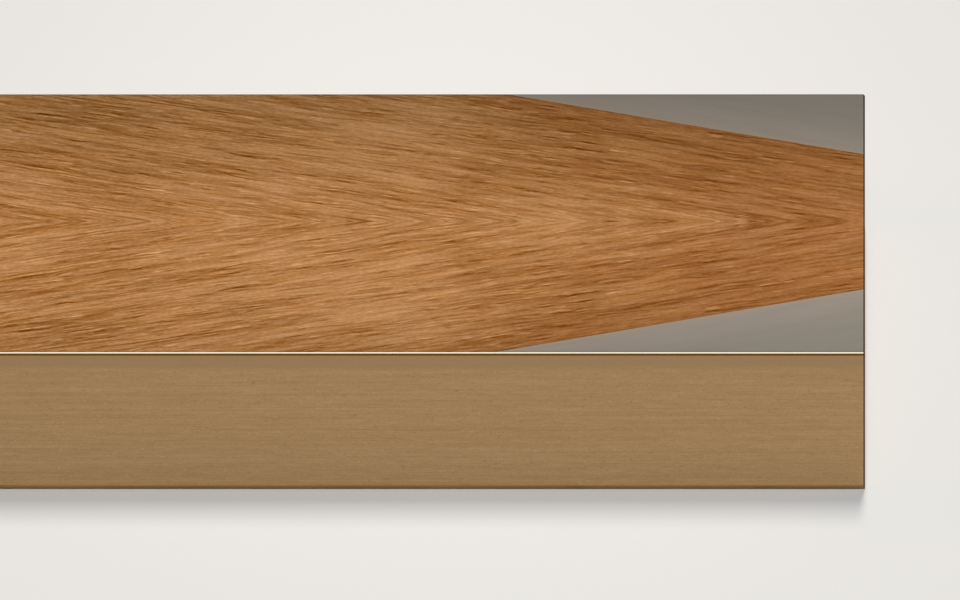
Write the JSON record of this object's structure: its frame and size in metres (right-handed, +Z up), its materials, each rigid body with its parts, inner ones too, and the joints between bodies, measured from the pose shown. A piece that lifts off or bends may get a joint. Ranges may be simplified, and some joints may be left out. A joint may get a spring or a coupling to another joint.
{
  "type": "veneered mdf board",
  "caption": "Fibreboard panel with a book-matched oak veneer face, grey leaves let into its corners at one end, and a dark backing veneer.",
  "frame": {"origin": "middle of the underside", "axes": "+X along the board towards the end where the oak runs out, +Y across it away from the edge that the picture shows, +Z up out of the veneered face"},
  "size_m": [0.3, 0.1, 0.019],
  "materials": {
    "fibreboard": "raw sawn and lightly sanded fibreboard edge, matt",
    "oak_veneer": "straight-grained oak, sanded and thinly oiled, satin",
    "grey_leaf": "plain grey veneer leaf, very fine and even, satin",
    "backing_veneer": "dark balancing veneer, sanded, matt"
  },
  "bodies": {
    "root": {"mdf_core": "fibreboard", "back_veneer": "backing_veneer", "oak_leaf_rear": "oak_veneer", "oak_leaf_front": "oak_veneer", "grey_corner_rear": "grey_leaf", "grey_corner_front": "grey_leaf"}
  },
  "joints": []
}
